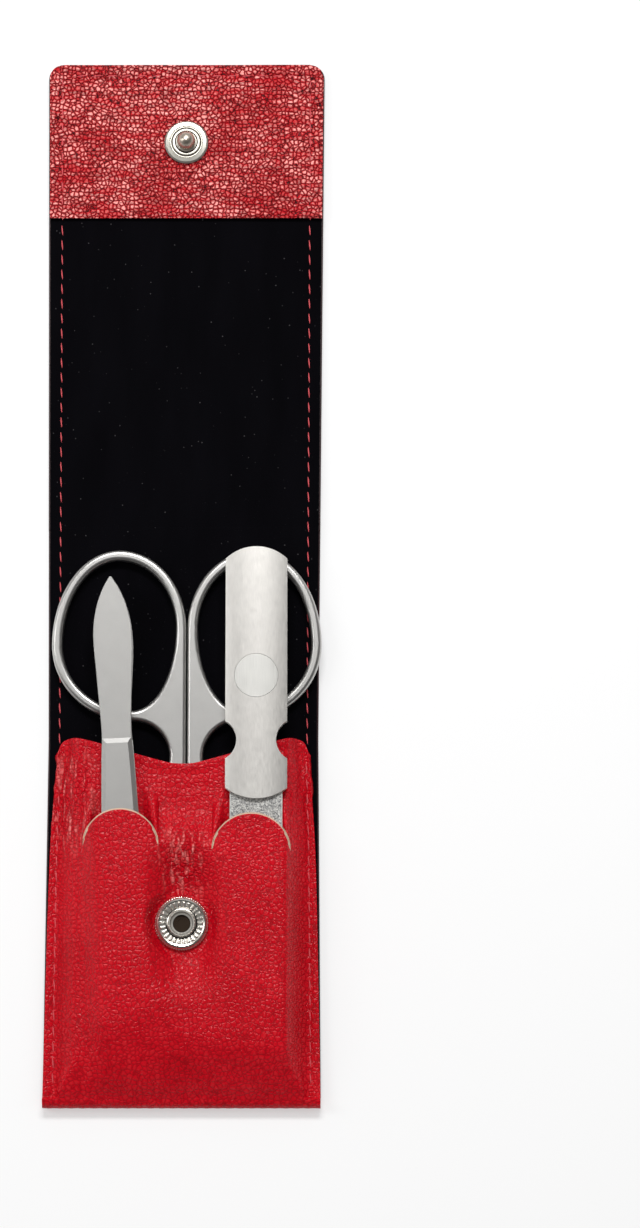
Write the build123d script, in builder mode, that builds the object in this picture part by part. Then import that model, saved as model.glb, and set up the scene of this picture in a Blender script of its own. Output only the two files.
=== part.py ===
from build123d import *
import os
from math import atan, cos, pi, radians, sin, tan

# A manicure set case of soft leather, open and lying on its back, with its scissors, tweezers and
# nail file in the pocket. Millimetres. +X runs across the case, +Y from the pocket's bottom fold to
# the flap's tip, and +Z out of the open case. The origin is under the middle of the open case.

# ---- Driving dimensions: the leather strip, seen from above ----
tip_width = 51.6  # across the flap's tip
mouth_width = 49.2  # across the back at the pocket's mouth
bottom_width = 50.1  # across the bottom fold
pocket_height = 66.8  # from the bottom fold to the pocket's mouth corners
tip_corner_radius = 2.7

# ---- Sheet thicknesses ----
leather_t = 1.0
lining_t = 0.6
pocket_t = 0.7
facing_t = 0.7
divider_t = 0.35
lining_inset = 0.3
cut_gap = 0.1  # between the strip's stretches, at each fold line

# ---- Snap fastener ----
stud_to_tip = 15.2
facing_length = 29.7
socket_rise = 32.9  # above the bottom fold, as all rises here
stud_flange_radius = 4.05
stud_flange_t = 0.6
ball_radius = 1.7
stud_height = 2.6  # from the flange's face to the ball's end
socket_radius = 4.65
socket_height = 1.6
socket_floor_t = 0.25
socket_mouth_radius = 2.0
rivet_post_radius = 1.25
rivet_hole_radius = 0.9
rivet_cap_radius = 3.6
rivet_cap_t = 0.3
fit_gap = 0.05

# ---- Heights in the open case ----
stack_gap = 0.25  # air between layers that slide on each other
crown_gap = 0.32  # from a tool's face to the crown of the leather over it
scissor_t = 2.2
flap_clearance = 0.22  # between the closed flap's facing and the pocket's highest bulge

# ---- Scissors ----
scissors_x = 0.6
tool_foot_rise = 11.43  # the tools stand this far above the bottom fold
top_clearance = 0.3  # from the tools' top ends to the closed fold
scissors_length = 90.0
pivot_to_tip = 30.5
ring_width = 24.6
ring_height = 31.5
ring_stock = 1.9
half_round = 0.7  # along the rings, the webs, the shanks and the line between the halves
ring_top_offset = 12.4  # the ring's crown, out from the line between the halves
ring_side_drop = 17.4  # the ring's widest point, below its crown
ring_foot_offset = 10.0  # the ring's lowest point, out from the line between the halves
shank_width = 3.3
half_line_gap = 0.1  # each half stands this far from the line between them
blade_t = 0.87
blade_lap_gap = 0.03
boss_radius = 4.6
boss_clearance = 0.5
screw_radius = 1.2
screw_head_radius = 2.1
screw_head_t = 0.5

# ---- Tweezers ----
tweezer_tip_x = -13.2
tweezer_tip_rise = 95.7
tweezer_turn = 2.68  # degrees, the tip towards -X
tweezer_length = 80.0
tweezer_arm_t = 0.7
tweezer_box_t = 0.85
tweezer_root = 77.0  # from the tip to the weld that the arms bend about
tip_gap = 1.9
root_gap = 0.1
weld_radius = 0.45

# ---- Nail file ----
file_x = 13.35
file_length = 90.0
handle_half = 5.6
handle_crown = 2.2  # the height of the handle's round top above its sides
handle_length = 46.1
handle_tail = 2.0  # how far the handle's round foot hangs below its corners
handle_sheet_t = 0.45
handle_rise = 0.55  # how much thicker the rounded front sheet is in its middle
notch_radius = 3.9
notch_depth = 2.0
notch_drop = 35.4  # from the handle's top to the middle of its two notches
spot_radius = 3.95
spot_drop = 23.7
file_blade_width = 9.5
file_pin_radius = 1.5
grit_t = 0.1

# ---- Pocket ----
arch_radius_tweezers = 6.9
arch_radius_file = 7.1
arch_rise_tweezers = 46.6
arch_rise_file = 45.7
arch_x_file = 12.5
pocket_shoulder = 18.5  # half the flat width of the pocket's upper leather
flange_width = 1.9
bottom_nose_radius = 1.6
pocket_end_rise = 10.0  # where the pocket's front starts down to the bottom fold
divider_top_rise = 56.0

# ---- Worked out from these ----
floor_z = leather_t + lining_t
scissors_z = floor_z + stack_gap
divider_z = scissors_z + scissor_t + stack_gap
pocket_z = divider_z + divider_t
pocket_top = pocket_z + pocket_t
tool_z = pocket_top + stack_gap
front_arm_rise = (tip_gap - root_gap) / tweezer_root


def arm_height(drop):
    """Height of the tweezers' raised front face at a distance from their tip, along their axis."""
    spread = root_gap + front_arm_rise * max(0.0, tweezer_root - drop)
    return tool_z + tweezer_arm_t + spread + tweezer_box_t


# The two fold lines lie just past the tools' top ends, apart by the closed case's thickness, and
# the stud lies as far past them as the socket lies before them.
arch_drop = (tweezer_tip_rise - arch_rise_tweezers) / cos(radians(tweezer_turn))
hood_peak = arm_height(arch_drop) + crown_gap + pocket_t
fold_gap = hood_peak + flap_clearance + facing_t - floor_z
fold_rise = tool_foot_rise + max(scissors_length, file_length) + top_clearance
stud_rise = 2 * fold_rise + fold_gap - socket_rise
open_length = stud_rise + stud_to_tip

tip_y = open_length / 2
bottom_y = -open_length / 2
nose_y = bottom_y + bottom_nose_radius
mouth_corner_y = bottom_y + pocket_height
stud_y = tip_y - stud_to_tip
facing_edge_y = tip_y - facing_length
socket_y = bottom_y + socket_rise
tweezer_tip = (tweezer_tip_x, bottom_y + tweezer_tip_rise)
arch_y_tweezers = bottom_y + arch_rise_tweezers
arch_y_file = bottom_y + arch_rise_file
pocket_end_y = bottom_y + pocket_end_rise
divider_top_y = bottom_y + divider_top_rise
hinge_case_y = bottom_y + fold_rise
hinge_flap_y = hinge_case_y + fold_gap
tools_top_y = hinge_case_y - top_clearance
pivot_y = tools_top_y - scissors_length + pivot_to_tip


def tweezer_drop(y):
    """Distance from the tweezers' tip, along their axis, at a place y."""
    return (tweezer_tip[1] - y) / cos(radians(tweezer_turn))


def tweezer_axis_x(y):
    return tweezer_tip[0] + (tweezer_tip[1] - y) * tan(radians(tweezer_turn))


def tweezer_top(y):
    """Height of the front arm's raised face at a place y."""
    return arm_height(tweezer_drop(y))


print("fold hinges at y", round(hinge_case_y, 3), round(hinge_flap_y, 3), "z", floor_z)

os.makedirs("parts", exist_ok=True)


# ---- The strip: back, fold and flap ----
def strip_half(y):
    """Half the strip's width at y: it narrows from the tip to the mouth and widens to the fold."""
    if y > mouth_corner_y:
        share = (y - mouth_corner_y) / (tip_y - mouth_corner_y)
        return (mouth_width + share * (tip_width - mouth_width)) / 2
    share = (y - mouth_corner_y) / (bottom_y - mouth_corner_y)
    return (mouth_width + share * (bottom_width - mouth_width)) / 2


def strip_outline(low_y, high_y, inset=0.0, corner_radius=0.0):
    """A stretch of the strip from low_y to high_y, with its two far corners rounded."""
    stations = [low_y, high_y]
    if low_y < mouth_corner_y < high_y:
        stations.insert(1, mouth_corner_y)
    right = [(strip_half(y) - inset, y) for y in stations]
    left = [(-x, y) for x, y in reversed(right)]
    with BuildSketch(Plane.XY) as outline:
        with BuildLine():
            Polyline(*right, *left, close=True)
        make_face()
        if corner_radius:
            fillet(outline.vertices().group_by(Axis.Y)[-1], corner_radius)
    return outline.sketch


case_end_y = hinge_case_y - cut_gap / 2
band_low_y = hinge_case_y + cut_gap / 2
band_high_y = hinge_flap_y - cut_gap / 2
flap_start_y = hinge_flap_y + cut_gap / 2
leather_edge_round = 0.35

with BuildPart() as back_leather:
    with BuildSketch(Plane.XY):
        add(strip_outline(nose_y, case_end_y))
    extrude(amount=leather_t)
    long_edges = back_leather.faces().sort_by(Axis.Z)[0].edges().filter_by(Axis.X, reverse=True)
    fillet(long_edges, leather_edge_round)
back_leather.part.label = "back_leather"

with BuildPart() as back_lining:
    with BuildSketch(Plane.XY.offset(leather_t)):
        add(strip_outline(nose_y, case_end_y, lining_inset))
    extrude(amount=lining_t)
back_lining.part.label = "back_lining"

with BuildPart() as fold_leather:
    with BuildSketch(Plane.XY):
        add(strip_outline(band_low_y, band_high_y))
    extrude(amount=leather_t)
    long_edges = fold_leather.faces().sort_by(Axis.Z)[0].edges().filter_by(Axis.X, reverse=True)
    fillet(long_edges, leather_edge_round)
fold_leather.part.label = "fold_leather"

with BuildPart() as fold_lining:
    with BuildSketch(Plane.XY.offset(leather_t)):
        add(strip_outline(band_low_y, band_high_y, lining_inset))
    extrude(amount=lining_t)
fold_lining.part.label = "fold_lining"

with BuildPart() as flap_leather:
    with BuildSketch(Plane.XY):
        add(strip_outline(flap_start_y, tip_y, corner_radius=tip_corner_radius))
    extrude(amount=leather_t)
    end_face = flap_leather.faces().sort_by(Axis.Z)[0]
    fillet(end_face.edges() - end_face.edges().group_by(Axis.Y)[0], leather_edge_round)
flap_leather.part.label = "flap_leather"

stud_plate_radius = stud_flange_radius
with BuildPart() as flap_lining:
    with BuildSketch(Plane.XY.offset(leather_t)):
        add(strip_outline(flap_start_y, tip_y - lining_inset, lining_inset, tip_corner_radius))
        with Locations((0, stud_y)):
            Circle(stud_plate_radius + fit_gap, mode=Mode.SUBTRACT)
    extrude(amount=lining_t)
flap_lining.part.label = "flap_lining"

with BuildPart() as flap_facing:
    with BuildSketch(Plane.XY.offset(floor_z)):
        add(strip_outline(facing_edge_y, tip_y, corner_radius=tip_corner_radius))
    extrude(amount=facing_t)
    top_face = flap_facing.faces().sort_by(Axis.Z)[-1]
    fillet(top_face.edges(), leather_edge_round)
    with Locations((0, stud_y, floor_z)):
        Hole(rivet_post_radius + fit_gap)
flap_facing.part.label = "flap_facing"


# ---- Snap fastener: a stud on the flap and a socket on the pocket ----
def turned(centre_y, base_z, outline):
    """A turned piece: an outline of (radius, height) points swung about an upright axis."""
    with BuildPart() as piece:
        with BuildSketch(Plane(origin=(0, centre_y, base_z), x_dir=(1, 0, 0), z_dir=(0, -1, 0))):
            with BuildLine():
                Polyline(*outline, close=True)
            make_face()
        revolve(axis=Axis((0, centre_y, 0), (0, 0, 1)))
    return piece.part


facing_top = floor_z + facing_t
neck_radius = ball_radius - 0.45
ball_centre = stud_flange_t + stud_height - ball_radius
ball_round = 80  # degrees, from the ball's waist to the small flat on its top
ball_top = ball_centre + ball_radius * sin(radians(ball_round))
with BuildPart() as snap_stud:
    with BuildSketch(Plane(origin=(0, stud_y, facing_top), x_dir=(1, 0, 0), z_dir=(0, -1, 0))):
        with BuildLine():
            rim = Polyline(
                (0, 0),
                (stud_flange_radius, 0),
                (stud_flange_radius, 0.25),
                (stud_flange_radius - 0.3, 0.5),
                (stud_flange_radius - 0.95, stud_flange_t),
                (stud_flange_radius - 1.1, 0.42),
                (stud_flange_radius - 1.4, 0.42),
                (stud_flange_radius - 1.6, stud_flange_t),
                (ball_radius + 0.15, stud_flange_t),
                (neck_radius, stud_flange_t + 0.15),
                (neck_radius, ball_centre - 0.55),
            )
            ball_start = (ball_radius, ball_centre)
            Line(rim @ 1, ball_start)
            crown = CenterArc((0, ball_centre), ball_radius, 0, ball_round)
            Line(crown @ 1, (0, ball_top))
            Line((0, ball_top), (0, 0))
        make_face()
    revolve(axis=Axis((0, stud_y, 0), (0, 0, 1)))
snap_stud.part.label = "snap_stud"

stud_plate_t = lining_t - fit_gap
stud_rivet_outline = [
    (0, 0),
    (stud_plate_radius, 0),
    (stud_plate_radius, stud_plate_t),
    (rivet_post_radius, stud_plate_t),
    (rivet_post_radius, lining_t + facing_t),
    (0, lining_t + facing_t),
]
stud_rivet = turned(stud_y, leather_t, stud_rivet_outline)
stud_rivet.label = "stud_rivet"

cavity_radius = socket_mouth_radius + 0.85
lip_radius = socket_mouth_radius + 0.35
socket_outline = [
    (rivet_post_radius + fit_gap, 0),
    (socket_radius - 0.1, 0),
    (socket_radius, 0.15),
    (socket_radius, 0.75),
    (socket_radius - 0.15, 1.1),
    (socket_radius - 0.5, 1.3),
    (socket_radius - 0.8, 1.2),
    (lip_radius + 0.55, 1.05),
    (lip_radius + 0.15, 1.2),
    (lip_radius, socket_height),
    (socket_mouth_radius + 0.1, socket_height),
    (socket_mouth_radius, socket_height - 0.15),
    (socket_mouth_radius, 0.95),
    (cavity_radius, 0.85),
    (cavity_radius, socket_floor_t),
    (rivet_post_radius + fit_gap, socket_floor_t),
]
snap_socket = turned(socket_y, pocket_top, socket_outline)
snap_socket.label = "snap_socket"

rivet_drop = pocket_t + divider_t
socket_rivet_outline = [
    (rivet_hole_radius, -rivet_drop - rivet_cap_t),
    (rivet_cap_radius, -rivet_drop - rivet_cap_t),
    (rivet_cap_radius, -rivet_drop),
    (rivet_post_radius, -rivet_drop),
    (rivet_post_radius, socket_floor_t),
    (rivet_post_radius + 0.35, socket_floor_t),
    (rivet_post_radius + 0.25, socket_floor_t + 0.12),
    (rivet_hole_radius, socket_floor_t + 0.12),
]
socket_rivet = turned(socket_y, pocket_top, socket_rivet_outline)
socket_rivet.label = "socket_rivet"

spring_wire_radius = 0.2
spring_split = 30.0  # degrees left open in the spring ring
spring_radius = cavity_radius - spring_wire_radius - fit_gap
spring_centre = Axis((0, socket_y, 0), (0, 0, 1))
with BuildPart() as socket_spring:
    wire_z = pocket_top + socket_floor_t + spring_wire_radius + 0.1
    with BuildSketch(Plane(origin=(spring_radius, socket_y, wire_z), x_dir=(1, 0, 0), z_dir=(0, -1, 0))):
        Circle(spring_wire_radius)
    revolve(axis=spring_centre, revolution_arc=360 - spring_split)
socket_spring.part.label = "socket_spring"


# ---- Pocket front: one leather with two arch-cut tongues over the front tools ----
flange_top = floor_z + pocket_t
end_top = 2 * bottom_nose_radius
mouth_margin = 4.0
mouth_half = mouth_width / 2 - 1.3
bottom_half = bottom_width / 2
pocket_stations = [
    # y, half width at the flange's edge, half width of the flat top, height of the top
    (mouth_corner_y + mouth_margin, mouth_half, pocket_shoulder, pocket_top),
    (mouth_corner_y - 5.8, mouth_half + 0.3, pocket_shoulder, pocket_top),
    (arch_y_tweezers, mouth_half + 0.8, pocket_shoulder, pocket_top),
    (pocket_end_y, bottom_half - 0.2, pocket_shoulder, pocket_top),
    (pocket_end_y - 4.0, bottom_half - 0.1, pocket_shoulder + 0.8, pocket_top - 0.5),
    (pocket_end_y - 6.8, bottom_half - 0.05, pocket_shoulder + 2.2, pocket_top - 1.3),
    (nose_y, bottom_half - 0.05, pocket_shoulder + 3.4, end_top),
]


def pocket_section(y, shoulder, seam, top, base_edge, foot):
    """A crossways section: flat top, S-shaped sides down to the seams, and flanges if any."""
    with BuildSketch(Plane.XZ.offset(-y)) as section:
        with BuildLine():
            Line((-shoulder, top), (shoulder, top))
            Spline((shoulder, top), (seam, foot), tangents=((1, 0), (1, 0)))
            if base_edge > seam:
                Polyline((seam, foot), (base_edge, foot), (base_edge, floor_z))
                Line((base_edge, floor_z), (-base_edge, floor_z))
                Polyline((-base_edge, floor_z), (-base_edge, foot), (-seam, foot))
            else:
                Line((seam, foot), (-seam, foot))
            Spline((-seam, foot), (-shoulder, top), tangents=((1, 0), (1, 0)))
        make_face()
    return section.sketch


with BuildPart() as pocket_body:
    for y, edge, shoulder, top in pocket_stations:
        add(pocket_section(y, shoulder, edge - flange_width, top, edge, min(flange_top, top - 0.3)))
    loft(ruled=True)

with BuildPart() as pocket_hollow:
    hollow_stations = [(y + (1.0 if y < pocket_end_y - 1 else 0.0), *rest) for y, *rest in pocket_stations]
    hollow_stations[0] = (hollow_stations[0][0] + 1.0, *hollow_stations[0][1:])
    for y, edge, shoulder, top in hollow_stations:
        seam = edge - flange_width - 0.1
        add(pocket_section(y, shoulder - 0.25, seam, top - pocket_t, 0.0, floor_z))
    loft(ruled=True)


shoulder_drop = 0.35  # from a bulge's crown to where its side wall starts


def hood_section(y, centre, left, right, flat, top, foot_left, foot_right):
    """A crossways section of the bulge over a tool, down to the pocket's floor."""
    foot_l = Vector(centre - left, foot_left)
    foot_r = Vector(centre + right, foot_right)
    shoulder_l = Vector(centre - flat, top - shoulder_drop)
    shoulder_r = Vector(centre + flat, top - shoulder_drop)
    with BuildSketch(Plane.XZ.offset(-y)) as section:
        with BuildLine():
            Line(foot_l, shoulder_l)
            ThreePointArc(shoulder_l, (centre, top), shoulder_r)
            Line(shoulder_r, foot_r)
            Polyline(foot_r, (foot_r.X, floor_z + 0.2), (foot_l.X, floor_z + 0.2), foot_l)
        make_face()
    return section.sketch


hood_wall = pocket_t
tool_margin = crown_gap + pocket_t
valley_foot = pocket_top - 0.1
arch_x_tweezers = tweezer_axis_x(arch_y_tweezers) - 0.2
tweezer_end_y = tweezer_tip[1] - tweezer_length * cos(radians(tweezer_turn))
file_end_y = tools_top_y - file_length
socket_keepout = socket_radius + 0.3
tweezer_half = 3.5
tweezer_flat_in = tweezer_half + stack_gap
tweezer_flat = tweezer_flat_in + hood_wall - 0.05
tweezer_valley = -tweezer_axis_x(socket_y) - socket_keepout
blade_top = tool_z + handle_sheet_t + grit_t * 2 + 0.8
file_flat_in = file_blade_width / 2 + stack_gap + 0.2
file_flat = file_flat_in + hood_wall - 0.05
file_valley = file_x - socket_keepout
file_hood_top = blade_top + tool_margin + 0.1

tweezer_hood = [
    # y, centre, left foot, right foot, half flat, top, height of the left foot, of the right foot
    (arch_y_tweezers + 8.5, 6.9, 6.9, tweezer_top(arch_y_tweezers + 8.5), valley_foot, valley_foot),
    (arch_y_tweezers, 6.9, 6.6, tweezer_top(arch_y_tweezers), valley_foot, valley_foot),
    (socket_y, 8.4, tweezer_valley, tweezer_top(socket_y), valley_foot, valley_foot),
    (tweezer_end_y - 0.6, 9.0, 6.6, tweezer_top(tweezer_end_y), valley_foot, valley_foot),
]
file_hood = [
    (arch_y_file + 8.8, 7.3, 7.0, file_hood_top, valley_foot, valley_foot),
    (arch_y_file, 7.9, 6.5, file_hood_top, valley_foot, valley_foot - 0.4),
    (socket_y, file_valley, 7.2, file_hood_top, valley_foot, valley_foot - 1.4),
    (file_end_y - 0.6, file_valley, 7.4, file_hood_top - 0.1, valley_foot, valley_foot - 1.6),
]


def arch_region(centre_x, centre_y, radius):
    """Seen from above, the tongue: a half disc, and all that lies below its middle."""
    with BuildPart() as region:
        with BuildSketch(Plane.XY):
            with Locations((centre_x, centre_y)):
                Circle(radius)
            with Locations((centre_x, centre_y)):
                Rectangle(26, 60, align=(Align.CENTER, Align.MAX))
        extrude(amount=20)
    return region.part


def hood_end(start_y, centre, left, right, flat, top):
    """Sections that bring a bulge down in a smooth curve to the pocket's bottom."""
    taper_steps = 5
    end_y = nose_y + 1.0
    sections = []
    for step in range(1, taper_steps + 1):
        share = step / taper_steps
        height = end_top + (top - end_top) * (1 + cos(pi * share)) / 2
        foot = min(pocket_top - 1.6, height - 1.0)
        y = start_y + share * (end_y - start_y)
        sections.append(hood_section(y, centre, left, right, flat, height, foot, foot))
    return sections


with BuildPart() as tweezer_cover:
    for y, left, right, top, foot_left, foot_right in tweezer_hood:
        centre = tweezer_axis_x(y)
        add(hood_section(y, centre, left, right, tweezer_flat, top + tool_margin, foot_left, foot_right))
    for section in hood_end(y, centre, left, right, tweezer_flat, top + tool_margin):
        add(section)
    loft(ruled=True)
    add(arch_region(arch_x_tweezers, arch_y_tweezers, arch_radius_tweezers), mode=Mode.INTERSECT)

with BuildPart() as tweezer_room:
    for y, left, right, top, foot_left, foot_right in tweezer_hood:
        centre = tweezer_axis_x(y)
        wall_left, wall_right = left - hood_wall, right - hood_wall
        add(hood_section(y, centre, wall_left, wall_right, tweezer_flat_in, top + crown_gap, 5.0, 5.0))
    loft(ruled=True)
    add(arch_region(arch_x_tweezers, arch_y_tweezers, arch_radius_tweezers), mode=Mode.INTERSECT)

with BuildPart() as file_cover:
    for y, left, right, top, foot_left, foot_right in file_hood:
        add(hood_section(y, file_x, left, right, file_flat, top, foot_left, foot_right))
    for section in hood_end(y, file_x, left, right, file_flat, top):
        add(section)
    loft(ruled=True)
    add(arch_region(arch_x_file, arch_y_file, arch_radius_file), mode=Mode.INTERSECT)

with BuildPart() as file_room:
    for y, left, right, top, foot_left, foot_right in file_hood:
        left_in, right_in, top_in = left - hood_wall, right - hood_wall, top - pocket_t
        add(hood_section(y, file_x, left_in, right_in, file_flat_in, top_in, 5.0, foot_right - 0.6))
    loft(ruled=True)
    add(arch_region(arch_x_file, arch_y_file, arch_radius_file), mode=Mode.INTERSECT)

mouth_dips = [(0, 4.9), (2.3, 4.7), (8.4, 3.1), (14.6, 1.3), (20.0, 0.1)]
mouth_dips += [(mouth_half - 1, 0), (mouth_half, 1.4)]
mouth_points = [(x, mouth_corner_y - dip) for x, dip in mouth_dips]
mouth_end_y = mouth_points[-1][1]
mouth_clear_y = mouth_corner_y + 20
with BuildPart() as pocket_front:
    add(pocket_body.part)
    add(tweezer_cover.part)
    add(file_cover.part)
    add(pocket_hollow.part, mode=Mode.SUBTRACT)
    add(tweezer_room.part, mode=Mode.SUBTRACT)
    add(file_room.part, mode=Mode.SUBTRACT)
    with BuildSketch(Plane.XY):
        with BuildLine():
            mouth = Spline(*[(-x, y) for x, y in reversed(mouth_points[1:])], *mouth_points)
            Line(mouth @ 1, (30, mouth_end_y))
            Polyline((30, mouth_end_y), (30, mouth_clear_y), (-30, mouth_clear_y), (-30, mouth_end_y))
            Line((-30, mouth_end_y), mouth @ 0)
        make_face()
    extrude(amount=20, mode=Mode.SUBTRACT)
    with BuildSketch(Plane.YZ.offset(-pocket_stations[-1][1])):
        with Locations((nose_y, bottom_nose_radius)):
            Circle(bottom_nose_radius)
            Rectangle(4, 4, align=(Align.MIN, Align.CENTER), mode=Mode.SUBTRACT)
    extrude(amount=2 * pocket_stations[-1][1])
    with Locations((0, socket_y, pocket_top)):
        Hole(rivet_post_radius + fit_gap)
pocket_front.part.label = "pocket_front"

divider_half = pocket_shoulder - 0.8
with BuildPart() as pocket_divider:
    with BuildSketch(Plane.XY.offset(divider_z)):
        with Locations((0, (divider_top_y + pocket_end_y) / 2)):
            RectangleRounded(2 * divider_half, divider_top_y - pocket_end_y, 3)
        with Locations((0, socket_y)):
            Circle(rivet_post_radius + fit_gap, mode=Mode.SUBTRACT)
    extrude(amount=divider_t)
pocket_divider.part.label = "pocket_divider"


# ---- Scissors: two halves of one shape, the right one turned over, lapped at the screw ----
ring_top = scissors_length - pivot_to_tip
ring_widest = ring_top - ring_side_drop
ring_foot = ring_top - ring_height
inner_edge = half_line_gap
ring_shoulder = ring_top - 14.5
half_stock = scissor_t / 2


def egg(offset):
    """The finger ring's outline, moved in from its outer edge by offset."""
    crown_side = ring_top_offset - inner_edge - offset
    crown_rise = 14.5 - offset
    with BuildSketch() as outline:
        with BuildLine():
            crown = (-ring_top_offset, ring_shoulder)
            far = (-ring_top_offset, ring_widest)
            foot = (-ring_foot_offset, ring_widest)
            low = (-ring_foot_offset, ring_shoulder)
            far_side = ring_width - ring_top_offset - offset
            near_side = ring_foot_offset - inner_edge - offset
            foot_drop = ring_widest - ring_foot - offset
            low_side = ring_width - ring_foot_offset - offset
            low_rise = ring_shoulder - ring_foot - offset
            EllipticalCenterArc(crown, crown_side, crown_rise, 0, arc_size=90)
            EllipticalCenterArc(far, far_side, ring_side_drop - offset, 90, arc_size=90)
            EllipticalCenterArc(foot, low_side, foot_drop, 180, arc_size=90)
            EllipticalCenterArc(low, near_side, low_rise, 270, arc_size=90)
        make_face()
    return outline.sketch


def scissor_half(side):
    """One half, in its own frame: origin at the screw, halfway up the stock, ring towards -X."""
    bench = Plane(
        origin=(scissors_x, pivot_y, scissors_z + half_stock), x_dir=(side, 0, 0), z_dir=(0, 0, side)
    )
    web_height = ring_foot + 6.0
    with BuildPart() as half:
        with BuildSketch(bench.offset(-half_stock)):
            add(egg(0.0))
            with BuildLine():
                Polyline(
                    (-inner_edge, 0.0),
                    (-inner_edge, ring_shoulder),
                    (-inner_edge - ring_stock, ring_shoulder),
                    (-inner_edge - 6.0, web_height),
                    (-ring_foot_offset, ring_foot + 0.6),
                    (-ring_foot_offset, ring_foot),
                )
                web = ThreePointArc(
                    (-ring_foot_offset, ring_foot), (-4.9, ring_foot - 2.0), (-shank_width, ring_foot - 8.4)
                )
                Polyline(web @ 1, (-shank_width, 0.0), (-inner_edge, 0.0))
            make_face()
            add(egg(ring_stock), mode=Mode.SUBTRACT)
        extrude(amount=scissor_t)
        level_edges = half.edges().filter_by(lambda edge: abs((edge @ 0).Z - (edge @ 1).Z) < 0.01)
        foot_edges = level_edges.filter_by(GeomType.LINE).filter_by(lambda edge: edge.length < shank_width)
        fillet([edge for edge in level_edges if edge not in foot_edges], half_round)
        with BuildSketch(bench.offset(-half_stock)):
            Circle(boss_radius + boss_clearance)
        extrude(amount=scissor_t, mode=Mode.SUBTRACT)
        with BuildSketch(bench.offset(blade_lap_gap)):
            Circle(boss_radius)
            with BuildLine():
                root_y = boss_radius + boss_clearance + 1.4
                Polyline(
                    (-shank_width, root_y),
                    (-inner_edge, root_y),
                    (-inner_edge, boss_radius - 0.1),
                    (boss_radius - 1.2, 0),
                )
                back = ThreePointArc((boss_radius - 1.2, 0), (3.1, -14.0), (-0.1, -pivot_to_tip))
                edge = ThreePointArc(back @ 1, (-1.5, -14.0), (-2.0, -3.0))
                Line(edge @ 1, (-shank_width, root_y))
            make_face()
        extrude(amount=blade_t)
        with BuildSketch(bench.offset(-half_stock)):
            Circle(screw_radius + fit_gap)
        extrude(amount=scissor_t, mode=Mode.SUBTRACT)
        with BuildSketch(bench.offset(blade_lap_gap + blade_t - screw_head_t - fit_gap)):
            Circle(screw_head_radius + fit_gap)
        extrude(amount=screw_head_t + 1.0, mode=Mode.SUBTRACT)
    return half.part


scissor_half_left = scissor_half(1)
scissor_half_left.label = "scissor_half_left"
scissor_half_right = scissor_half(-1)
scissor_half_right.label = "scissor_half_right"

screw_reach = blade_lap_gap + blade_t
with BuildPart() as scissor_screw:
    with BuildSketch(Plane.XY.offset(scissors_z + half_stock)):
        with Locations((scissors_x, pivot_y)):
            Circle(screw_radius)
    extrude(amount=screw_reach, both=True)
    for level in (screw_reach - screw_head_t, -screw_reach):
        with BuildSketch(Plane.XY.offset(scissors_z + half_stock + level)):
            with Locations((scissors_x, pivot_y)):
                Circle(screw_head_radius)
        extrude(amount=screw_head_t)
    slot_width = 0.5
    with BuildSketch(Plane.XY.offset(scissors_z + half_stock + screw_reach)):
        with Locations(Location((scissors_x, pivot_y), 35.0)):
            Rectangle(2.5 * screw_head_radius, slot_width)
    extrude(amount=-0.25, mode=Mode.SUBTRACT)
scissor_screw.part.label = "scissor_screw"


# ---- Tweezers: two sprung arms with leaf-shaped ends and boxed grips, welded at the foot ----
tweezer_box_start = 29.7
leaf_t = 0.6
tip_half = 0.25
leaf_side = [(tip_half, -0.1), (1.5, -2.2), (2.75, -5.5), (3.5, -10.2), (3.2, -18.0), (2.68, -28.5)]
leaf_side += [(2.75, -tweezer_box_start - 0.4)]
box_side = [(2.8, -tweezer_box_start), (3.3, -43.5), (tweezer_half, -56.0), (3.35, -70.0), (2.7, -77.8)]


def tweezer_outline(points, closed_foot):
    """A face from the points of its right side, mirrored, with a straight or a round foot."""
    right = [Vector(x, y) for x, y in points]
    left = [Vector(-x, y) for x, y in reversed(points)]
    with BuildSketch() as outline:
        with BuildLine():
            Spline(*right)
            if closed_foot:
                ThreePointArc(right[-1], (0, -tweezer_length), left[0])
            else:
                Line(right[-1], left[0])
            Spline(*left)
            Line(left[-1], right[0])
        make_face()
    return outline.sketch


def tweezer_bench(height, tilt):
    """A plane on the tweezers' axis with its origin at the tip, tilted up towards the tip."""
    turn = radians(tweezer_turn)
    upright = (sin(tilt) * sin(turn), -sin(tilt) * cos(turn), cos(tilt))
    return Plane(origin=(*tweezer_tip, height), x_dir=(cos(turn), sin(turn), 0), z_dir=upright)


weld_z = tool_z + tweezer_arm_t + root_gap / 2
weld_width = 4.0
arm_tilt = atan(front_arm_rise)


def weld_bead(radius, width):
    """The bead across the arms' feet that the front arm bends about."""
    root_x = tweezer_tip[0] + tweezer_root * sin(radians(tweezer_turn))
    root_y = tweezer_tip[1] - tweezer_root * cos(radians(tweezer_turn))
    across = (cos(radians(tweezer_turn)), sin(radians(tweezer_turn)), 0)
    with BuildPart() as bead:
        with BuildSketch(Plane(origin=(root_x, root_y, weld_z), x_dir=(0, 0, 1), z_dir=across)):
            Circle(radius)
        extrude(amount=width / 2, both=True)
    return bead.part


with BuildPart() as tweezer_back_arm:
    with BuildSketch(tweezer_bench(tool_z, 0)):
        add(tweezer_outline(leaf_side, False))
        add(tweezer_outline(box_side, True))
    extrude(amount=tweezer_arm_t)
    add(weld_bead(weld_radius, weld_width))
tweezer_back_arm.part.label = "tweezer_back_arm"

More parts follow.
